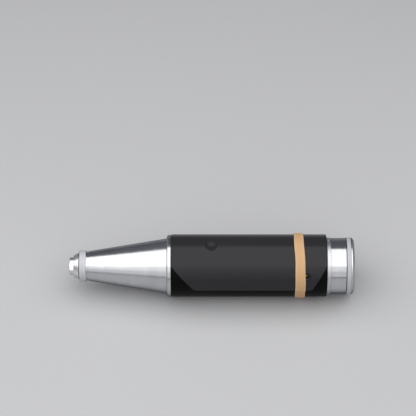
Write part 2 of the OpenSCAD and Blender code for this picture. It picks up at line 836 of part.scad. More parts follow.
// --- Charging socket ---
module charge_socket() color("black")
  radial(socket_x, socket_clock) difference() {
    union() {
      translate([-socket_body_w / 2, -socket_body_w / 2, socket_body_base])
        cube([socket_body_w, socket_body_w, socket_neck_base - socket_body_base]);
      translate([0, 0, socket_neck_base - 0.1])
        cylinder(r = socket_neck_r, h = socket_seat - socket_neck_base + 0.1);
    }
    translate([0, 0, socket_seat - plug_depth]) cylinder(r = plug_r, h = plug_depth + cut);
  }

module charge_pin() color("gold")
  radial(socket_x, socket_clock) translate([0, 0, socket_seat - plug_depth])
    cylinder(r = charge_pin_r, h = plug_depth - 1);

module charge_bezel() color("dimgray")
  radial(socket_x, socket_clock) difference() {
    translate([0, 0, socket_seat]) cylinder(r = socket_bezel_r, h = socket_face - socket_seat);
    translate([0, 0, socket_seat - cut]) cylinder(r = plug_r + 0.2, h = 4);
    translate([0, 0, socket_face - 0.7])
      cylinder(r1 = plug_r + 0.2, r2 = plug_r + 1, h = 0.8);
  }

// --- Battery pack ---
module battery_cells() color("steelblue")
  for (clock = cell_clocks)
    rotate([clock, 0, 0]) translate([0, cell_pitch_r, 0]) {
      tube(cells_front, cells_rear - 1, cell_r, 3);
      disc(cells_front, cells_rear, 3);
    }

module link_outline(grow)
  polygon([for (clock = cell_clocks) (cell_pitch_r + link_reach + grow) * [cos(clock), sin(clock)]]);

module cell_links() color("silver") {
  slab(cells_front - link_t, cells_front) link_outline(0);
  slab(cells_rear, cells_rear + link_t) link_outline(0);
}

// What the cell holders leave free: the cells, their links, the wires and the charging socket
module holder_spaces(x0, x1) {
  for (clock = cell_clocks) {
    rod(cells_front - link_t, cells_rear + link_t, clock, cell_pitch_r, cell_r + seat_gap);
    rod(x0 - cut, x1 + cut, clock, cell_pitch_r, wire_r + 0.1);
  }
  slab(cells_front - link_t, cells_rear + link_t) link_outline(0.1);
  translate([x0 - cut, -wire_half_gap - 1.1, board_top - 0.2])
    cube([x1 - x0 + 2 * cut, 2 * wire_half_gap + 2.2, barrel_in_r]);
  translate([x0 - cut, -wire_half_gap - 1.1, -motor_wire_out - 1.1])
    cube([x1 - x0 + 2 * cut, 2 * wire_half_gap + 2.2, 2.2]);
  radial(0, socket_clock) translate([x0 - cut, -socket_body_w / 2 - 0.3, socket_body_base - 0.4])
    cube([x1 - x0 + 2 * cut, socket_body_w + 0.6, barrel_in_r]);
}

module cell_holder(x0, x1) color("#2f3133")
  difference() {
    disc(x0, x1, holder_r);
    holder_spaces(x0, x1);
  }

module cell_holder_front() cell_holder(front_holder_front, front_holder_front + holder_len);
module cell_holder_rear() cell_holder(rear_holder_rear - holder_len, rear_holder_rear);

// --- Control electronics ---
module control_board() color("darkgreen")
  disc(control_front, ledge_x, holder_r);

module board_components() color("dimgray") {
  rod(ledge_x, ledge_x + 7, 330, 13, 4);
  rod(ledge_x, ledge_x + 5, 285, 13.5, 2.6);
  translate([ledge_x, -14, -6]) cube([4.6, 6, 10]);
  translate([ledge_x, -5, 9]) cube([1.4, 10, 7]);
  translate([ledge_x, 8, 4]) cube([2, 7, 5]);
}

module speed_pot() color("darkslategray")
  difference() {
    union() {
      disc(web_front - pot_len, web_front, pot_r);
      disc(web_front - 0.1, web_rear + 1.6, pot_bush_r);
    }
    disc(web_front - 3, web_rear + 2, pot_shaft_r + run_gap);
  }

module pot_nut() color("silver")
  difference() {
    translate([web_rear, 0, 0]) rotate([0, 90, 0]) cylinder(r = 5.6, h = 1.5, $fn = 6);
    disc(web_rear - cut, web_rear + 2, pot_bush_r);
  }

module pot_shaft() color("lightgray")
  disc(pot_shaft_front, dial_floor, pot_shaft_r);

// --- Tail ---
module tail_sleeve() color("silver")
  difference() {
    turned([
      [pot_bush_r + seat_gap, web_front], [sleeve_bore_r, web_front], [sleeve_bore_r, barrel_rear],
      [tail_ring_r - 0.3, barrel_rear], [tail_ring_r, barrel_rear + 0.3],
      [tail_ring_r, barrel_rear + tail_ring_len - 0.3],
      [tail_r, barrel_rear + tail_ring_len],
      [tail_r, tail_rear - end_gap / 2 - 0.3], [tail_r - 0.3, tail_rear - end_gap / 2],
      [dial_seat_r, tail_rear - end_gap / 2], [dial_seat_r, web_rear],
      [pot_bush_r + seat_gap, web_rear]
    ]);
    for (clock = set_screw_clocks)
      radial(set_screw_x, clock) cylinder(r = thread_hole_r, h = tail_ring_r + cut);
  }

module tail_set_screws() color("gainsboro")
  for (clock = set_screw_clocks)
    radial(set_screw_x, clock) difference() {
      translate([0, 0, sleeve_bore_r])
        cylinder(r = screw_r, h = tail_ring_r - 0.25 - sleeve_bore_r);
      translate([0, 0, tail_ring_r - 1.6]) cylinder(r = set_screw_key_r, h = 2, $fn = 6);
    }

module tail_o_ring() color("black")
  torus(tail_groove_x, neck_r - o_ring_r, o_ring_r - 0.01);

module speed_dial() color("silver") {
  step = 0.35;
  rounding = [for (i = [0:6]) let (a = i * 15)
    [dial_r - step - dial_round + dial_round * cos(a), dial_rear - dial_round + dial_round * sin(a)]];
  turned(concat(
    [[pot_shaft_r, dial_floor], [pot_shaft_r, dial_spigot_front], [dial_hub_r, dial_spigot_front],
     [dial_hub_r, dial_floor], [dial_spigot_r - dial_spigot_wall, dial_floor],
     [dial_spigot_r - dial_spigot_wall, dial_spigot_front], [dial_spigot_r, dial_spigot_front],
     [dial_spigot_r, dial_front], [dial_r - 0.3, dial_front], [dial_r, dial_front + 0.3],
     [dial_r, dial_rear - 3], [dial_r - step, dial_rear - 2.6]],
    rounding,
    [[insert_r + seat_gap, dial_rear], [insert_r + seat_gap, dial_rear - insert_t],
     [0, dial_rear - insert_t], [0, dial_floor]]
  ));
}

module dial_insert() color("#2b2c2e")
  disc(dial_rear - insert_t, dial_rear - 0.2, insert_r);

// --- Rubber band that is stored round the barrel ---
module band_outline(grow) {
  high = barrel_r + panel_t + 0.02 + grow;
  low = barrel_r + 0.02 + grow;
  lead = acos(low / high);
  polygon(concat(arc(high, 0, 180), arc(low, 180 + lead, 360 - lead)));
}

module storage_band() color("burlywood") {
  x0 = barrel_rear - band_from_rear - band_w / 2;
  slab(x0, x0 + band_w) difference() {
    band_outline(band_t);
    band_outline(0);
  }
}

// --- Wires: motor, switch, cells, socket and potentiometer to the control board ---
module wiring() color("crimson") {
  for (side = [-1, 1]) {
    translate([0, side * wire_half_gap, -motor_wire_out])
      disc(end_cap_rear, control_front, wire_r);
    translate([0, side * wire_half_gap, switch_wire_z])
      disc(switch_wire_x, control_front, thin_wire_r);
    rod(cells_rear + link_t, control_front, 270 + 60 * side, cell_pitch_r, thin_wire_r);
    radial(0, socket_clock) translate([0, side * 1.5, socket_body_base + 5])
      disc(socket_x + socket_body_w / 2, control_front, thin_wire_r);
  }
  for (clock = [150, 180, 210])
    rod(ledge_x, web_front - pot_len, clock, 5, thin_wire_r - 0.1);
}

collet_nut();
collet();
spindle();
spindle_spacer();
spindle_circlip();
front_retainer();
front_seal();
front_bearing_outer();
front_bearing_inner();
front_bearing_balls();
rear_bearing_outer();
rear_bearing_inner();
rear_bearing_balls();
preload_washer();
nose_cone();
nose_o_ring();
nose_lock_ring();
coupling_hub_front();
coupling_spider();
coupling_hub_rear();
motor_plate();
plate_screws();
motor_screws();
motor_can();
motor_magnets();
motor_bushes();
motor_shaft();
armature_core();
armature_windings();
commutator();
carbon_brushes();
motor_end_cap();
motor_cradle();
barrel();
grip_panel();
power_button();
button_bezel();
button_spring();
switch_plunger();
switch_body();
switch_board();
charge_socket();
charge_pin();
charge_bezel();
battery_cells();
cell_holder_front();
cell_holder_rear();
cell_links();
control_board();
board_components();
speed_pot();
pot_nut();
pot_shaft();
tail_sleeve();
tail_o_ring();
tail_set_screws();
speed_dial();
dial_insert();
storage_band();
wiring();
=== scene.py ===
"""Looks of the hand-held glass grinder: turned aluminium nose and tail, black barrel, grip panel and band."""
import json
import math

import bmesh
import bpy
from mathutils import Matrix, Vector


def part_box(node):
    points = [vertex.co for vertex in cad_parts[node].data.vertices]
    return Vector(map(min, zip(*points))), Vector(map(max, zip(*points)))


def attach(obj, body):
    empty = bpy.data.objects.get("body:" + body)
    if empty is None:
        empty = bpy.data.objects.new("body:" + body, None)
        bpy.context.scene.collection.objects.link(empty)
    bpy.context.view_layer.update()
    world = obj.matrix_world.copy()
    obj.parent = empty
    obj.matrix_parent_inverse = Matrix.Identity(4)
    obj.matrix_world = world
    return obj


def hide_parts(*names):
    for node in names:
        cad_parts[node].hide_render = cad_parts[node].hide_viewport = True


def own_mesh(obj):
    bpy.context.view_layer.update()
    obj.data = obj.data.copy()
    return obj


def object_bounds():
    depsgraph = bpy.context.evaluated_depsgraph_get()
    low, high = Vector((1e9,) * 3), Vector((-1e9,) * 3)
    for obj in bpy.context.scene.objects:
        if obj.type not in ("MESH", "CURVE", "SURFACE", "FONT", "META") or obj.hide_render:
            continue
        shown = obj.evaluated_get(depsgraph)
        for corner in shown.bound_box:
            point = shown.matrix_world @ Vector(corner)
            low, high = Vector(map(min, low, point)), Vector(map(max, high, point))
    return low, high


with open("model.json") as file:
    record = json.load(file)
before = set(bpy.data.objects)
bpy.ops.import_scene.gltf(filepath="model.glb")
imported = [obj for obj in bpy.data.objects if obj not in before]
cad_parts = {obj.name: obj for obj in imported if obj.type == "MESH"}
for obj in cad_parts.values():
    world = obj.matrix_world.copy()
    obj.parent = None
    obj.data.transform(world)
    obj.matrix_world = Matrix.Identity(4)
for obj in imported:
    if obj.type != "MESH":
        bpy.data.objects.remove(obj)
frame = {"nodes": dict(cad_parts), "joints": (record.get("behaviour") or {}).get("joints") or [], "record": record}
cad_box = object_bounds()

MM = 0.001
TURN = 2 * math.pi
LATHE_STEPS = 192
SMALL_LATHE_STEPS = 96
CORNER_STEPS = 4
EDGE_ROUND = 0.15
PATTERN_SHARP = 40
BAND_SHARP = 60
FLAT_CORNER = math.radians(176)
MERGE_DISTANCE = 1e-7
ON_TOP = 90       # clock angle of the button: 0 is +Y, 90 is up and 180 is -Y
AT_SOCKET = 150   # clock angle of the charging socket
scene = bpy.context.scene
scene.view_settings.view_transform = "Standard"

# --- Camera: level with the tool's axis, looking down at it from the side ---
CAMERA_ELEVATION = math.radians(48.8)
CAMERA_DISTANCE = 2.07
CAMERA_LENS = 194.7
AIM_ALONG = -0.0033
AIM_ABOVE = 0.0533
tool_low, tool_high = cad_box
tool_middle = Vector(((tool_low.x + tool_high.x) / 2, 0, 0))
look = Vector((0, math.cos(CAMERA_ELEVATION), -math.sin(CAMERA_ELEVATION)))
screen_up = Vector((0, math.sin(CAMERA_ELEVATION), math.cos(CAMERA_ELEVATION)))
aim = tool_middle + Vector((AIM_ALONG, 0, 0)) + AIM_ABOVE * screen_up
camera_data = bpy.data.cameras.new("camera")
camera_data.sensor_width = 36
camera_data.lens = CAMERA_LENS
camera = bpy.data.objects.new("camera", camera_data)
camera.location = aim - CAMERA_DISTANCE * look
camera.rotation_euler = (math.pi / 2 - CAMERA_ELEVATION, 0, 0)
camera_data.clip_start, camera_data.clip_end = 0.01, 50
scene.collection.objects.link(camera)
scene.camera = camera


# --- Node trees ---
class Number:
    """A number that varies over a surface. Arithmetic on it adds Math nodes."""

    def __init__(self, tree, socket):
        self.tree, self.socket = tree, socket

    def math(self, operation, *values):
        node = self.tree.node("ShaderNodeMath", {"operation": operation}, dict(enumerate(values)))
        return Number(self.tree, node.outputs[0])

    def __add__(self, other):
        return self.math("ADD", self, other)

    def __radd__(self, other):
        return self.math("ADD", other, self)

    def __sub__(self, other):
        return self.math("SUBTRACT", self, other)

    def __rsub__(self, other):
        return self.math("SUBTRACT", other, self)

    def __mul__(self, other):
        return self.math("MULTIPLY", self, other)

    def __rmul__(self, other):
        return self.math("MULTIPLY", other, self)

    def __abs__(self):
        return self.math("ABSOLUTE", self)

    def rise(self, low, high):
        """0 below low, 1 above high, and smooth between them."""
        node = self.tree.node("ShaderNodeMapRange", {"interpolation_type": "SMOOTHSTEP"},
                              {"Value": self, "From Min": low, "From Max": high})
        return Number(self.tree, node.outputs[0])


class Tree:
    """A node tree, and the one way that nodes are added to it."""

    def __init__(self, nodes_and_links):
        self.tree = nodes_and_links

    def node(self, kind, settings=None, values=None):
        made = self.tree.nodes.new(kind)
        for key, value in (settings or {}).items():
            setattr(made, key, value)
        for key, value in (values or {}).items():
            self.fill(made.inputs[key], value)
        return made

    def fill(self, socket, value):
        value = value.socket if isinstance(value, Number) else value
        if isinstance(value, bpy.types.NodeSocket):
            self.tree.links.new(value, socket)
        elif socket.type == "RGBA" and len(value) == 3:
            socket.default_value = (*value, 1)
        else:
            socket.default_value = value


class Finish(Tree):
    """One material: a Principled surface and the patterns that feed it."""

    def __init__(self, name, **fixed):
        self.material = bpy.data.materials.new(name)
        self.material.use_nodes = True
        super().__init__(self.material.node_tree)
        self.tree.nodes.clear()
        self.surface = self.node("ShaderNodeBsdfPrincipled")
        self.node("ShaderNodeOutputMaterial", None, {"Surface": self.surface.outputs[0]})
        self.place = self.node("ShaderNodeTexCoord").outputs["Object"]
        self.set(**fixed)

    def set(self, **values):
        for key, value in values.items():
            self.fill(self.surface.inputs[key.replace("_", " ").title().replace("Ior", "IOR")], value)
        return self

    def stretched(self, x, y, z):
        return self.node("ShaderNodeMapping", None, {"Vector": self.place, "Scale": (x, y, z)}).outputs[0]

    def even(self, scale):
        return self.stretched(scale, scale, scale)

    def noise(self, where, detail=2.0, roughness=0.5):
        node = self.node("ShaderNodeTexNoise", None,
                         {"Vector": where, "Scale": 1.0, "Detail": detail, "Roughness": roughness})
        return Number(self, node.outputs[0])

    def along(self):
        """The place along the tool's axis, in metres."""
        return Number(self, self.node("ShaderNodeSeparateXYZ", None, {0: self.place}).outputs[0])

    def blend(self, share, first, second):
        node = self.node("ShaderNodeMix", {"data_type": "RGBA"}, {0: share, 6: first, 7: second})
        return node.outputs[2]

    def bump(self, height, distance):
        node = self.node("ShaderNodeBump", None, {"Height": height, "Distance": distance, "Strength": 1.0})
        return self.set(normal=node.outputs[0])


def shade(colour, factor):
    return tuple(min(1.0, c * factor) for c in colour)


EDGE_TINT = (0.30, 0.31, 0.33)  # how bright turned metal stays at a grazing angle
CUT_ROUND = 14                  # scale round the tool of the marks that a lathe leaves
CUT_DEPTH = 0.000012            # metres
BLAST_FADE = 0.12               # millimetres over which a blasted zone begins and ends


def turned_metal(name, colour, roughness, lines=2600, depth=0.8, spread=0.10, blasted=(),
                 blast_roughness=0.62, blast_colour=None, blast_metal=0.45):
    """Bright metal from a lathe: fine lines round the axis, wiping marks, and zones that are blasted matt."""
    f = Finish(name, metallic=1.0, specular_tint=EDGE_TINT)
    cut = f.noise(f.stretched(lines, CUT_ROUND, CUT_ROUND), detail=3, roughness=0.65)
    broad = f.noise(f.stretched(lines * 0.09, CUT_ROUND, CUT_ROUND), detail=2)
    wiped = f.noise(f.even(55), detail=4, roughness=0.6)
    rough = roughness + spread * (cut - 0.5) + 0.08 * (wiped - 0.5)
    tint = f.blend(wiped.rise(0.3, 0.75), shade(colour, 0.94), shade(colour, 1.04))
    tint = f.blend(broad.rise(0.35, 0.7) * 0.35, tint, shade(colour, 0.86))
    height = cut * 0.6 + broad * 0.4
    if not blasted:
        return f.set(base_color=tint, roughness=rough).bump(height, CUT_DEPTH * depth).material
    x = f.along()
    zone = 0
    for low, high in blasted:
        enters = x.rise(low * MM, (low + BLAST_FADE) * MM)
        leaves = x.rise((high - BLAST_FADE) * MM, high * MM)
        zone = enters * (1 - leaves) + zone
    grain = f.noise(f.even(3800), detail=3, roughness=0.7)
    matt = blast_colour or shade(colour, 0.95)
    speck = f.blend(grain, shade(matt, 0.90), shade(matt, 1.06))
    f.set(base_color=f.blend(zone, tint, speck),
          roughness=zone * blast_roughness + (1 - zone) * rough,
          metallic=1 - zone * (1 - blast_metal))
    return f.bump(zone * grain * 1.6 + (1 - zone) * height, CUT_DEPTH * depth).material


def plain_metal(name, colour, roughness, grain=900, depth=0.6):
    """Metal seen only inside: drawn, ground or plated."""
    f = Finish(name, metallic=1.0)
    marks = f.noise(f.stretched(grain, grain * 0.2, grain * 0.2), detail=3, roughness=0.6)
    stain = f.noise(f.even(120), detail=3)
    f.set(base_color=f.blend(stain, shade(colour, 0.82), shade(colour, 1.08)),
          roughness=roughness + 0.14 * (marks - 0.5) + 0.1 * (stain - 0.5))
    return f.bump(marks, 0.00001 * depth).material


def moulded(name, colour, roughness, grain=2400, depth=0.8, gloss=0.5, tint=0.12):
    """Moulded or coated surface: fine texture, small colour drift, handling marks."""
    f = Finish(name, specular_ior_level=gloss)
    texture = f.noise(f.even(grain), detail=3, roughness=0.65)
    drift = f.noise(f.even(38), detail=3)
    rubbed = f.noise(f.stretched(160, 420, 420), detail=4, roughness=0.7)
    f.set(base_color=f.blend(drift, shade(colour, 1 - tint), shade(colour, 1 + tint)),
          roughness=roughness + 0.08 * (drift - 0.5) - 0.10 * rubbed.rise(0.62, 0.8))
    return f.bump(texture, 0.00002 * depth).material


def anodised_black():
    """The barrel tube: black anodising over a fine turned surface."""
    f = Finish("barrel_black", specular_ior_level=0.05)
    cut = f.noise(f.stretched(1700, 16, 16), detail=3, roughness=0.6)
    cloud = f.noise(f.stretched(26, 40, 40), detail=3)
    dust = f.noise(f.even(900), detail=4, roughness=0.8).rise(0.70, 0.80)
    black = f.blend(cloud, (0.0016, 0.0016, 0.0019), (0.0030, 0.0030, 0.0034))
    f.set(base_color=f.blend(dust * 0.35, black, (0.02, 0.02, 0.021)),
          roughness=0.40 + 0.10 * (cut - 0.5) + 0.07 * (cloud - 0.5))
    return f.bump(cut, 0.000008).material


def soft_touch():
    """The grip panel: dark grey soft-touch film with a fine even grain."""
    f = Finish("panel_grey", specular_ior_level=0.16)
    grain = f.noise(f.even(2100), detail=2, roughness=0.6)
    cloud = f.noise(f.stretched(14, 22, 22), detail=2)
    scuff = f.noise(f.stretched(70, 900, 900), detail=4, roughness=0.75).rise(0.66, 0.78)
    tone = f.blend(cloud, (0.0178, 0.0166, 0.0183), (0.0212, 0.0198, 0.0218))
    f.set(base_color=f.blend(scuff * 0.25, tone, (0.030, 0.0285, 0.0305)),
          roughness=0.25 + 0.08 * (grain - 0.5) + 0.04 * (cloud - 0.5) - 0.03 * scuff)
    return f.bump(grain, 0.000012).material


def band_latex():
    """The storage band: tan rubber with faint lines along it, and a painted highlight that makes its colour paler
    along both cut edges.
    """
    f = Finish("band_rubber", specular_ior_level=0.3)
    place = f.node("ShaderNodeSeparateXYZ", None, {0: f.node("ShaderNodeUVMap").outputs[0]})
    around = Number(f, place.outputs[0])
    across = Number(f, place.outputs[1])
    # edge is a mask along both sides of the band, where the colour gets a painted highlight for the light that its
    # rounded edges catch
    edge = abs(across - 0.5).rise(0.33, 0.5)
    lay = f.node("ShaderNodeCombineXYZ", None, {0: around * 5, 1: across * 34, 2: 0.0})
    streak = f.noise(lay.outputs[0], detail=3, roughness=0.6)
    powder = f.noise(f.even(1500), detail=3, roughness=0.7)
    blotch = f.noise(f.even(90), detail=3)
    tone = f.blend(streak.rise(0.3, 0.7), (0.470, 0.285, 0.138), (0.530, 0.335, 0.182))
    tone = f.blend(blotch * 0.4, tone, (0.430, 0.248, 0.118))
    # painted highlight: the band's colour is made paler along both edges
    tone = f.blend(edge * 0.65, tone, (0.560, 0.405, 0.240))
    tone = f.blend(powder.rise(0.6, 0.8) * 0.3, tone, (0.520, 0.390, 0.262))
    f.set(base_color=tone, roughness=0.62 + 0.16 * (powder - 0.5))
    return f.bump(streak * 0.5 + powder * 0.5, 0.00006).material


def pale_floor():
    f = Finish("floor_pale", specular_ior_level=0.15, roughness=0.9)
    cloud = f.noise(f.even(3), detail=2)
    f.set(base_color=f.blend(cloud, (0.405, 0.405, 0.409), (0.423, 0.423, 0.425)))
    return f.material


# Zones along the tool, in millimetres, that are blasted or satin
COLLAR_BLAST = [(-3.05, 2.75)]
DIAL_BLAST = [(241.75, 245.3)]
RING_SATIN = [(223.5, 226.9)]

FINISHES = {
    "cone_aluminium": turned_metal("cone_aluminium", (0.56, 0.565, 0.58), 0.22, lines=1500, depth=0.7),
    "collar_aluminium": turned_metal("collar_aluminium", (0.58, 0.58, 0.595), 0.22, blasted=COLLAR_BLAST,
                                     blast_colour=(0.47, 0.47, 0.485), blast_metal=0.2),
    "chuck_steel": turned_metal("chuck_steel", (0.80, 0.80, 0.815), 0.36, lines=2200),
    "tail_aluminium": turned_metal("tail_aluminium", (0.56, 0.565, 0.58), 0.17, lines=2200, depth=1.2,
                                   blasted=RING_SATIN, blast_roughness=0.38, blast_metal=0.9),
    "dial_aluminium": turned_metal("dial_aluminium", (0.56, 0.565, 0.58), 0.30, blasted=DIAL_BLAST,
                                   blast_colour=(0.43, 0.435, 0.45), blast_metal=0.2),
    "ring_aluminium": turned_metal("ring_aluminium", (0.60, 0.605, 0.62), 0.20, lines=1800),
    "barrel_black": anodised_black(),
    "panel_grey": soft_touch(),
    "button_black": moulded("button_black", (0.0175, 0.0166, 0.018), 0.30, gloss=0.17),
    "trim_dark": moulded("trim_dark", (0.012, 0.0117, 0.0125), 0.40, gloss=0.2),
    "band_rubber": band_latex(),
    "seal_rubber": moulded("seal_rubber", (0.016, 0.016, 0.017), 0.6, grain=1800, gloss=0.3),
    "ground_steel": turned_metal("ground_steel", (0.62, 0.63, 0.65), 0.22, lines=3200),
    "bearing_steel": turned_metal("bearing_steel", (0.70, 0.71, 0.73), 0.12, lines=3600, depth=0.4),
    "screw_steel": plain_metal("screw_steel", (0.16, 0.16, 0.17), 0.42),
    "set_screw_steel": plain_metal("set_screw_steel", (0.82, 0.82, 0.84), 0.25),
    "motor_steel": plain_metal("motor_steel", (0.50, 0.51, 0.53), 0.34, grain=500),
    "magnet_ferrite": moulded("magnet_ferrite", (0.05, 0.05, 0.053), 0.75, grain=1500, depth=1.4),
    "core_steel": plain_metal("core_steel", (0.34, 0.34, 0.35), 0.46, grain=2000, depth=2),
    "copper": plain_metal("copper", (0.72, 0.33, 0.16), 0.30, grain=1800, depth=2),
    "bronze": plain_metal("bronze", (0.58, 0.41, 0.20), 0.50, grain=2400, depth=1.5),
    "carbon": moulded("carbon", (0.03, 0.03, 0.031), 0.7, grain=3000),
    "black_plastic": moulded("black_plastic", (0.025, 0.025, 0.027), 0.48),
    "spider_rubber": moulded("spider_rubber", (0.50, 0.05, 0.035), 0.55, grain=1300, gloss=0.4),
    "switch_plastic": moulded("switch_plastic", (0.05, 0.05, 0.055), 0.38),
    "white_plastic": moulded("white_plastic", (0.80, 0.80, 0.78), 0.38, tint=0.05),
    "board_green": moulded("board_green", (0.015, 0.13, 0.05), 0.3, grain=700, depth=0.5),
    "chip_black": moulded("chip_black", (0.035, 0.035, 0.038), 0.5),
    "cell_sleeve": moulded("cell_sleeve", (0.08, 0.26, 0.50), 0.28, grain=500, depth=0.6),
    "nickel": plain_metal("nickel", (0.66, 0.63, 0.57), 0.30),
    "gold_contact": plain_metal("gold_contact", (0.46, 0.34, 0.16), 0.34),
    "wire_insulation": moulded("wire_insulation", (0.50, 0.04, 0.035), 0.45, grain=900),
}


# --- Shapes turned on a lathe ---
def rounded(outline, size):
    """The closed outline with every corner rounded by up to size, or by the third number of a point."""
    points = []
    count = len(outline)
    for i, corner in enumerate(outline):
        here = Vector(corner[:2])
        before, after = Vector(outline[i - 1][:2]), Vector(outline[(i + 1) % count][:2])
        wanted = corner[2] if len(corner) > 2 else size
        back, ahead = before - here, after - here
        opening = back.angle(ahead, math.pi)
        if wanted <= 0 or opening > FLAT_CORNER:
            points.append(here)
            continue
        reach = min(wanted / math.tan(opening / 2), 0.45 * back.length, 0.45 * ahead.length)
        start, end = here + back.normalized() * reach, here + ahead.normalized() * reach
        for k in range(CORNER_STEPS + 1):
            t = k / CORNER_STEPS
            points.append(start * (1 - t) ** 2 + here * (2 * t * (1 - t)) + end * t ** 2)
    return points


def mesh_object(name, vertices, faces):
    mesh = bpy.data.meshes.new(name)
    mesh.from_pydata(vertices, [], faces)
    made = bpy.data.objects.new(name, mesh)
    scene.collection.objects.link(made)
    return made


def smooth(piece, angle=30):
    """Merges doubles, turns the faces outwards and shades the mesh smooth up to an angle."""
    work = bmesh.new()
    work.from_mesh(piece.data)
    bmesh.ops.remove_doubles(work, verts=work.verts, dist=MERGE_DISTANCE)
    bmesh.ops.recalc_face_normals(work, faces=work.faces)
    work.to_mesh(piece.data)
    work.free()
    piece.data.shade_smooth()
    piece.data.set_sharp_from_angle(angle=math.radians(angle))
    return piece


def lathed(name, outline, place=None, steps=LATHE_STEPS, shape=None):
    """A closed body turned about X from (x, radius) points in millimetres. shape may move a point."""
    ring = rounded(outline, EDGE_ROUND)
    vertices, faces = [], []
    for x, r in ring:
        for k in range(steps):
            a = TURN * k / steps
            point = Vector((x, r * math.cos(a), r * math.sin(a)))
            point = shape(point) if shape else point
            vertices.append(point * MM)
    count = len(ring)
    for i in range(count):
        j = (i + 1) % count
        for k in range(steps):
            n = (k + 1) % steps
            faces.append([i * steps + k, i * steps + n, j * steps + n, j * steps + k])
    made = mesh_object(name, vertices, faces)
    if place is not None:
        made.data.transform(place)
    return smooth(made)


def span(node):
    """A node's first and last x, and the radius that its top reaches, in millimetres."""
    low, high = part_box(node)
    return low.x / MM, high.x / MM, high.z / MM


def finished(piece, body, slot, *stands_for):
    piece.data.materials.clear()
    piece.data.materials.append(FINISHES[slot])
    if stands_for:
        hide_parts(*stands_for)
    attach(piece, body)
    return piece


# --- Collet nut ---
def collet_nut():
    front, rear, base_r = span("collet_nut")
    nose_r, shoulder_r, taper_r = 7.9, 9.8, 11.75
    mouth_r, seat_r, bore_r, chest_r = 2.6, 3.5, 4.3, 5.3
    step, mouth, seat = front + 3.7, front + 1.15, front + 2.6
    flat_out, flat_end = nose_r - 0.9, step - 0.5
    flat_clock = math.radians(131)
    flat_normal = Vector((0, math.cos(flat_clock), math.sin(flat_clock)))

    def with_flats(point):
        if point.x <= flat_end + 1e-6:
            out = point.dot(flat_normal)
            if abs(out) > flat_out:
                point = point - flat_normal * (out - math.copysign(flat_out, out))
        return point

    outline = [
        (front, mouth_r, 0.25), (front, nose_r, 0.55), (flat_end, nose_r, 0), (flat_end + 0.02, nose_r, 0),
        (step, nose_r, 0.2), (step, shoulder_r, 0.35), (rear - 0.9, taper_r, 0.2),
        (rear - 0.4, base_r, 0.3), (rear, base_r - 0.4, 0.15), (rear, chest_r), (seat, chest_r),
        (seat, bore_r), (mouth, seat_r), (mouth, mouth_r),
    ]
    finished(lathed("collet_nut_shell", outline, shape=with_flats), "nut", "chuck_steel", "collet_nut")


# --- Nose: collar, cone and lock ring ---
def nose_collar():
    front, rear, r = span("front_retainer")
    land_rear, groove_rear, groove_r, spigot_r = 3.3, 4.7, 13.0, 10.98
    seal_r, recess_r, lip_r = 8.0, 9.0, 6.65
    relief = r - 0.12
    outline = [
        (front, lip_r, 0.2), (front, r - 0.3, 0.25), (front + 0.3, r, 0.2),
        (land_rear - 0.55, r, 0.08), (land_rear - 0.45, relief, 0.08), (land_rear - 0.1, relief, 0.2),
        (land_rear, groove_r, 0.1), (groove_rear, groove_r, 0.05), (groove_rear, spigot_r, 0.1),
        (rear, spigot_r, 0.1), (rear, seal_r, 0.1), (front + 8.5, seal_r, 0.1), (front + 8.5, recess_r, 0.1),
        (front + 1.2, recess_r, 0.1), (front + 1.2, lip_r, 0.1),
    ]
    finished(lathed("nose_collar_ring", outline), "housing", "collar_aluminium", "front_retainer")


def nose_cone():
    front, spigot_end, _ = span("nose_cone")
    cone_rear = span("nose_lock_ring")[0]
    cone_front_r, cone_rear_r, spigot_r = 13.5, 25.3, 25.18
    bearing_r, neck_r, chamber_r, mouth_r = 11.0, 9.0, 16.0, 22.0
    mouth, chamber, rear_seat = spigot_end - 10.0, cone_rear - 17.3, cone_rear - 30.7
    front_seat = front + 8.6
    outline = [
        (front, bearing_r, 0.15), (front, cone_front_r, 0.35), (cone_rear, cone_rear_r, 0.02),
        (cone_rear, spigot_r, 0.02), (spigot_end - 9.1, spigot_r, 0), (spigot_end, spigot_r, 0.6),
        (spigot_end, mouth_r, 0.2), (mouth, mouth_r, 0.1), (mouth, chamber_r, 0.1),
        (chamber, chamber_r, 0.1), (chamber, bearing_r, 0.1), (rear_seat, bearing_r, 0.1),
        (rear_seat, neck_r, 0.1), (front_seat, neck_r, 0.1), (front_seat, bearing_r, 0.1),
    ]
    finished(lathed("nose_cone_shell", outline), "housing", "cone_aluminium", "nose_cone")


def lock_ring():
    front, rear, r = span("nose_lock_ring")
    bore_r = 25.2
    groove_r = r - 0.12
    outline = [
        (front, bore_r, 0.1), (front, r - 1.2, 0.2), (front + 0.7, r, 0.35), (rear - 1.5, r, 0.05),
        (rear - 1.4, groove_r, 0.05), (rear - 1.1, groove_r, 0.05), (rear - 1.0, r, 0.05),
        (rear, r - 0.02, 0.3), (rear, bore_r, 0.1),
    ]
    finished(lathed("nose_lock_ring_band", outline), "housing", "ring_aluminium", "nose_lock_ring")


# --- Speed dial and its insert ---
AXIS_R = 0.002  # the radius at which a turned face closes on the axis


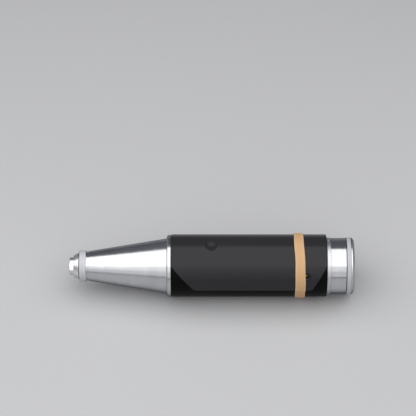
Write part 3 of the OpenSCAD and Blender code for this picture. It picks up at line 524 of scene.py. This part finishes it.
def speed_dial():
    front, rear, r = span("speed_dial")
    rim_front, edge = 241.45, 1.7
    shaft_r, hub_r, skirt_in_r, skirt_r, rim_in_r, insert_r = 3.0, 5.5, 18.1, 20.1, 20.4, 20.6
    floor_front, floor_rear = rear - 3.1, rear - 0.8
    outer_r, groove_r = r - 0.25, r - 0.35
    outline = [
        (rim_front, rim_in_r, 0.1), (rim_front, r - 0.3, 0.2), (rim_front + 0.3, r, 0.25),
        (rear - 3.1, r, 0.12), (rear - 2.9, groove_r, 0.12), (rear - 2.5, groove_r, 0.1),
        (rear - 2.3, outer_r, 0.1), (rear - edge, outer_r, 1.2), (rear, r - edge - 0.4, 1.2),
        (rear, insert_r, 0.2), (rear - 0.75, 20.05, 0.05), (floor_rear, AXIS_R, 0),
        (floor_front, AXIS_R, 0), (floor_front, shaft_r, 0), (front, shaft_r, 0.2), (front, hub_r, 0.2),
        (floor_front, hub_r, 0.1), (floor_front, skirt_in_r, 0.1), (front, skirt_in_r, 0.1),
        (front, skirt_r, 0.1),
    ]
    finished(lathed("speed_dial_knob", outline), "dial", "dial_aluminium", "speed_dial")


def dial_insert():
    front, rear, r = span("dial_insert")
    disc_r = r - 0.02
    outline = [(front, AXIS_R, 0), (front, disc_r, 0.05), (rear, disc_r, 0.15)]
    for groove_r in (17.6, 16.9, 9.4, 8.7):
        outline += [(rear, groove_r + 0.2, 0.03), (rear - 0.15, groove_r, 0.03), (rear, groove_r - 0.2, 0.03)]
    outline += [(rear, 2.0, 0.3), (rear - 0.25, AXIS_R, 0)]
    finished(lathed("dial_insert_disc", outline), "dial", "trim_dark", "dial_insert")


# --- Button, its bezel and the charging socket's bezel ---
def standing(x, clock):
    """Turns a body made along X into one that points outwards at a clock angle, at a station x."""
    outwards = Matrix.Rotation(math.radians(clock), 4, "X") @ Matrix.Rotation(math.pi / 2, 4, "Z")
    return Matrix.Translation((x, 0, 0)) @ outwards


def power_button():
    low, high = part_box("power_button")
    x, top = (low.x + high.x) / 2, high.z / MM
    base, stem_r, flange_r, r = low.z / MM, 2.0, 5.1, 4.3
    flange, shoulder = 25.2, 26.3
    outline = [
        (base, AXIS_R, 0), (base, stem_r, 0.2), (flange, stem_r, 0.1), (flange, flange_r, 0.15),
        (shoulder, flange_r, 0.15), (shoulder, r, 0.1), (top, r, 0.35), (top - 0.1, r - 0.55, 0.3),
        (top - 0.33, 2.6, 0.6), (top - 0.52, 1.2, 0.6), (top - 0.58, AXIS_R, 0),
    ]
    made = lathed("power_button_cap", outline, place=standing(x, ON_TOP), steps=SMALL_LATHE_STEPS)
    finished(made, "button", "button_black", "power_button")


def button_bezel():
    low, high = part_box("button_bezel")
    x, top, base = (low.x + high.x) / 2, high.z / MM, low.z / MM
    hole_r, lip_r, r = 4.4, 5.0, 5.6
    outline = [(base, hole_r, 0.05), (base, r, 0.05), (top, r, 0.4), (top, lip_r, 0.2),
               (top - 0.5, hole_r, 0.1)]
    made = lathed("button_bezel_ring", outline, place=standing(x, ON_TOP), steps=SMALL_LATHE_STEPS)
    finished(made, "housing", "trim_dark", "button_bezel")


def charge_bezel():
    low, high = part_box("charge_bezel")
    x = (low.x + high.x) / 2
    seat, face, r, hole_r = 26.9, 28.88, 3.9, 2.0
    outline = [(seat, hole_r, 0.05), (seat, r, 0.05), (face, r, 0.35), (face, 3.1, 0.15),
               (face - 0.2, 2.8, 0.1), (face - 0.7, hole_r, 0.1)]
    made = lathed("charge_bezel_ring", outline, place=standing(x, AT_SOCKET), steps=SMALL_LATHE_STEPS)
    finished(made, "housing", "trim_dark", "charge_bezel")


# --- Storage band ---
def band_radius(angle, high, low):
    """Where the band lies: on the panel above, on the bare tube below, and straight across the step."""
    if angle <= math.pi:
        return high
    past = min(angle - math.pi, TURN - angle)
    return low / math.cos(max(0, math.acos(low / high) - past))


def band_section(thick, across):
    """The band's section as (place across it from -1 to 1, height): crowned a little in, with round edges."""
    edge_start, hollow = 0.86, 0.10
    top, bottom = [], []
    for k in range(across + 1):
        v = 2 * k / across - 1
        past = max(0, (abs(v) - edge_start) / (1 - edge_start))
        edge = 0.5 * thick * (1 - math.sqrt(max(0, 1 - past ** 2)))
        top.append((v, thick - edge - hollow * (1 - v * v) ** 2 * thick))
        bottom.append((v, edge))
    return top + bottom[::-1]


def storage_band():
    low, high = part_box("storage_band")
    middle, half = (low.x + high.x) / 2 / MM, (high.x - low.x) / 2 / MM
    on_panel, on_tube, thick = 29.18, 28.22, 1.1
    around, across = 288, 14
    lean_clock, wide_clock = math.radians(221), math.radians(205)
    section = band_section(thick, across)
    count = len(section)
    vertices, faces, uvs = [], [], []
    for i in range(around):
        angle = TURN * i / around
        base = band_radius(angle, on_panel, on_tube)
        lean = 0.75 * math.cos(angle - lean_clock)
        wave = 0.22 * math.sin(3 * angle + 0.8) + 0.12 * math.sin(7 * angle)
        centre = middle + lean + wave
        width = half * (0.925 + 0.035 * math.cos(angle - wide_clock)) + 0.06 * math.sin(5 * angle)
        for v, out in section:
            r = base + out
            point = Vector((centre + width * v, r * math.cos(angle), r * math.sin(angle)))
            vertices.append(point * MM)
            uvs.append((i / around, v / 2 + 0.5))
    for i in range(around):
        j = (i + 1) % around
        for k in range(count):
            n = (k + 1) % count
            faces.append([i * count + k, i * count + n, j * count + n, j * count + k])
    made = mesh_object("storage_band_loop", vertices, faces)
    layer = made.data.uv_layers.new(name="UVMap")
    for polygon in made.data.polygons:
        rows = [made.data.loops[c].vertex_index for c in polygon.loop_indices]
        wraps = max(rows) // count == around - 1 and min(rows) // count == 0
        for loop, vertex in zip(polygon.loop_indices, rows):
            u, v = uvs[vertex]
            layer.data[loop].uv = (1.0 if wraps and vertex // count == 0 else u, v)
    smooth(made, BAND_SHARP)
    finished(made, "housing", "band_rubber", "storage_band")


# --- What repeats or follows a path, made with Geometry Nodes ---
class Pattern(Tree):
    """A Geometry Nodes tree with named inputs, which ends in Realize Instances and Set Material."""

    def __init__(self, name):
        group = bpy.data.node_groups.new(name, "GeometryNodeTree")
        super().__init__(group)
        self.socket("Geometry", "NodeSocketGeometry")
        group.interface.new_socket("Geometry", in_out="OUTPUT", socket_type="NodeSocketGeometry")
        self.names = {}
        self.entry = self.node("NodeGroupInput")

    def socket(self, name, kind):
        return self.tree.interface.new_socket(name, in_out="INPUT", socket_type=kind)

    def ask(self, name, kind="NodeSocketFloat"):
        self.names[name] = self.socket(name, kind).identifier
        return self.entry.outputs[name]

    def end(self, geometry, material):
        whole = self.node("GeometryNodeRealizeInstances", None, {0: geometry})
        painted = self.node("GeometryNodeSetMaterial", None,
                            {"Geometry": whole.outputs[0], "Material": material})
        self.node("NodeGroupOutput", None, {0: painted.outputs[0]})

    def grown(self, name, carrier, **sizes):
        """Runs the pattern on a carrier object and returns the result as a plain mesh object."""
        modifier = carrier.modifiers.new("pattern", "NODES")
        modifier.node_group = self.tree
        for key, value in sizes.items():
            modifier[self.names[key.replace("_", " ")]] = value
        graph = bpy.context.evaluated_depsgraph_get()
        mesh = bpy.data.meshes.new_from_object(carrier.evaluated_get(graph))
        mesh.name = name
        carrier.modifiers.remove(modifier)
        bpy.data.objects.remove(carrier)
        made = bpy.data.objects.new(name, mesh)
        scene.collection.objects.link(made)
        return smooth(made, PATTERN_SHARP)


ACROSS = (0, math.pi / 2, 0)  # turns what lies flat so that it stands square to the tool's axis


def empty_mesh(name):
    """A carrier for a pattern that makes all its geometry itself."""
    return mesh_object(name, [], [])


def tail_ridges():
    """Fine ridges left by the turning tool round the tail sleeve's band."""
    p = Pattern("turned_ridges")
    start, pitch = p.ask("start"), p.ask("pitch")
    count, out, thick = p.ask("count", "NodeSocketInt"), p.ask("radius"), p.ask("thickness")
    first = p.node("ShaderNodeCombineXYZ", None, {0: start})
    step = p.node("ShaderNodeCombineXYZ", None, {0: pitch})
    line = p.node("GeometryNodeMeshLine", {"mode": "OFFSET"},
                  {"Count": count, "Start Location": first.outputs[0], "Offset": step.outputs[0]})
    hoop = p.node("GeometryNodeCurvePrimitiveCircle", None, {"Resolution": 160, "Radius": out})
    wire = p.node("GeometryNodeCurvePrimitiveCircle", None, {"Resolution": 6, "Radius": thick})
    ridge = p.node("GeometryNodeCurveToMesh", None, {0: hoop.outputs[0], 1: wire.outputs[0]})
    placed = p.node("GeometryNodeInstanceOnPoints", None,
                    {"Points": line.outputs[0], "Instance": ridge.outputs[0], "Rotation": ACROSS})
    p.end(placed.outputs[0], FINISHES["tail_aluminium"])
    start_x, end_x, number = 227.9, 240.5, 13
    ridge_r, wire_r = 25.585, 0.075
    made = p.grown("tail_sleeve_ridges", empty_mesh("ridge_carrier"), start=start_x * MM,
                   pitch=(end_x - start_x) / (number - 1) * MM, count=number, radius=ridge_r * MM,
                   thickness=wire_r * MM)
    finished(made, "housing", "tail_aluminium")


def dial_ticks():
    """Eleven raised marks round the insert, for reading the dial's position."""
    p = Pattern("dial_marks")
    count, out, size = p.ask("count", "NodeSocketInt"), p.ask("radius"), p.ask("length")
    sweep, station = p.ask("sweep"), p.ask("station")
    arc = p.node("GeometryNodeCurveArc", {"mode": "RADIUS"},
                 {"Resolution": 64, "Radius": out, "Start Angle": math.radians(-45), "Sweep Angle": sweep})
    spots = p.node("GeometryNodeCurveToPoints", {"mode": "COUNT"}, {"Curve": arc.outputs[0], "Count": count})
    wide, high = 0.45 * MM, 0.24 * MM
    box_size = p.node("ShaderNodeCombineXYZ", None, {0: wide, 1: size, 2: high})
    mark = p.node("GeometryNodeMeshCube", None, {"Size": box_size.outputs[0]})
    away = p.node("FunctionNodeAlignRotationToVector", {"axis": "Y"},
                  {"Vector": p.node("GeometryNodeInputPosition").outputs[0]})
    placed = p.node("GeometryNodeInstanceOnPoints", None,
                    {"Points": spots.outputs[0], "Instance": mark.outputs[0], "Rotation": away.outputs[0]})
    shift = p.node("ShaderNodeCombineXYZ", None, {0: station})
    turned = p.node("GeometryNodeTransform", None,
                    {"Geometry": placed.outputs[0], "Rotation": ACROSS, "Translation": shift.outputs[0]})
    p.end(turned.outputs[0], FINISHES["white_plastic"])
    rear = span("dial_insert")[1]
    marks, mark_r, mark_len, sunk = 11, 14.2, 3.2, 0.1
    made = p.grown("dial_insert_marks", empty_mesh("mark_carrier"), count=marks, radius=mark_r * MM,
                   length=mark_len * MM, sweep=math.radians(270), station=(rear - sunk) * MM)
    finished(made, "dial", "white_plastic")


def button_coil():
    """The spring under the button: a wire coil."""
    low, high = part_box("button_spring")
    wire, coils = 0.25 * MM, 4.0
    p = Pattern("coil_spring")
    turns, out, tall, thick = p.ask("turns"), p.ask("radius"), p.ask("height"), p.ask("thickness")
    spiral = p.node("GeometryNodeCurveSpiral", None,
                    {"Resolution": 40, "Rotations": turns, "Start Radius": out, "End Radius": out,
                     "Height": tall})
    section = p.node("GeometryNodeCurvePrimitiveCircle", None, {"Resolution": 12, "Radius": thick})
    coil = p.node("GeometryNodeCurveToMesh", None,
                  {"Curve": spiral.outputs[0], "Profile Curve": section.outputs[0], "Fill Caps": True})
    p.end(coil.outputs[0], FINISHES["ground_steel"])
    made = p.grown("button_spring_coil", empty_mesh("coil_carrier"), turns=coils,
                   radius=(high.x - low.x) / 2 - wire, height=high.z - low.z - 2 * wire, thickness=wire)
    made.data.transform(Matrix.Translation(((low.x + high.x) / 2, 0, low.z + wire)))
    finished(made, "housing", "ground_steel", "button_spring")
    travel = next(joint["range_m"][1] for joint in frame["joints"] if joint["name"] == "button_press")
    1 - travel / (high.z - low.z)
    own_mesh(made)


def panel_edge_path():
    """The panel's outer edge as points on its outer surface, in millimetres."""
    front, rear, _ = span("grip_panel")
    r, inset = 29.16, 0.16
    front_cut, rear_cut, cut_clock = 21.2, 13.5, 50
    half = math.radians(cut_clock / 2)
    clock_step, end_step, side_points = 2.5, 4, 12
    sides = (front + front_cut, rear - rear_cut)

    def on(x, clock):
        a = math.radians(clock)
        return Vector((x, (r - inset) * math.cos(a), (r - inset) * math.sin(a)))

    def cut(end, length, clocks):
        rows = []
        for clock in clocks:
            share = (math.sin(math.radians(clock) - half) + math.sin(half)) / (2 * math.sin(half))
            rows.append((end + length * (1 - share), clock))
        return rows

    def side(start, end, clock):
        return [(start + (end - start) * k / side_points, clock) for k in range(1, side_points)]

    near = [clock_step * k for k in range(round(cut_clock / clock_step) + 1)]
    across = [cut_clock + end_step * k for k in range(1, round((180 - 2 * cut_clock) / end_step))]
    path = cut(front, front_cut, reversed(near)) + side(sides[0], sides[1], 0)
    path += cut(rear, -rear_cut, near) + [(rear, clock) for clock in across]
    path += [(x, 180 - c) for x, c in cut(rear, -rear_cut, reversed(near))] + side(sides[1], sides[0], 180)
    path += [(x, 180 - c) for x, c in cut(front, front_cut, near)]
    path += [(front, 180 - clock) for clock in across]
    return [on(x, clock) for x, clock in path]


def panel_edge():
    """A rounded bead that finishes the grip panel's edge."""
    path, bead_r = panel_edge_path(), 0.2
    line = bpy.data.curves.new("panel_edge_line", "CURVE")
    line.dimensions = "3D"
    spline = line.splines.new("POLY")
    spline.points.add(len(path) - 1)
    for point, place in zip(spline.points, path):
        point.co = (*(place * MM), 1)
    spline.use_cyclic_u = True
    carrier = bpy.data.objects.new("panel_edge_line", line)
    scene.collection.objects.link(carrier)
    p = Pattern("edge_bead")
    thick = p.ask("thickness")
    wire = p.node("GeometryNodeCurvePrimitiveCircle", None, {"Resolution": 10, "Radius": thick})
    bead = p.node("GeometryNodeCurveToMesh", None, {0: p.entry.outputs["Geometry"], 1: wire.outputs[0]})
    p.end(bead.outputs[0], FINISHES["panel_grey"])
    made = p.grown("grip_panel_edge", carrier, thickness=bead_r * MM)
    finished(made, "housing", "panel_grey")


# --- The object ---
collet_nut()
nose_collar()
nose_cone()
lock_ring()
speed_dial()
dial_insert()
power_button()
button_bezel()
charge_bezel()
storage_band()
tail_ridges()
dial_ticks()
button_coil()
panel_edge()

for row in frame["record"]["subparts"]:
    frame["nodes"][row["node"]].data.materials[0] = FINISHES[row["material_slot"]]

# --- Floor and light ---
FLOOR_REACH = 4
floor_corners = [(-1, -1), (1, -1), (1, 1), (-1, 1)]
floor = mesh_object("floor", [(FLOOR_REACH * x, FLOOR_REACH * y, tool_low.z) for x, y in floor_corners],
                    [(0, 1, 2, 3)])
floor.data.materials.append(pale_floor())


def softbox(name, centre, facing, width, height, radiance):
    """A rectangular light. radiance is how bright its face looks."""
    data = bpy.data.lights.new(name, "AREA")
    data.shape = "RECTANGLE"
    data.size, data.size_y = width, height
    data.energy = radiance * math.pi * width * height
    light = bpy.data.objects.new(name, data)
    light.location = centre
    light.rotation_euler = Vector(facing).to_track_quat("-Z", "Y").to_euler()
    scene.collection.objects.link(light)


softbox("overhead", (-0.3, -0.075, 0.9), (0, 0, -1), 3.4, 1.35, 1.95)
softbox("front_upper", (0.1, -1.02, 0.88), (0, 0.76, -0.65), 2.6, 0.62, 1.2)
softbox("front_lower", (0.1, -1.62, 0.46), (0, 0.96, -0.27), 2.6, 0.72, 0.75)
world = bpy.data.worlds.new("studio")
scene.world = world
world.use_nodes = True
backdrop = world.node_tree.nodes["Background"]
backdrop.inputs["Color"].default_value = (0.86, 0.90, 1.0, 1)
backdrop.inputs["Strength"].default_value = 0.16
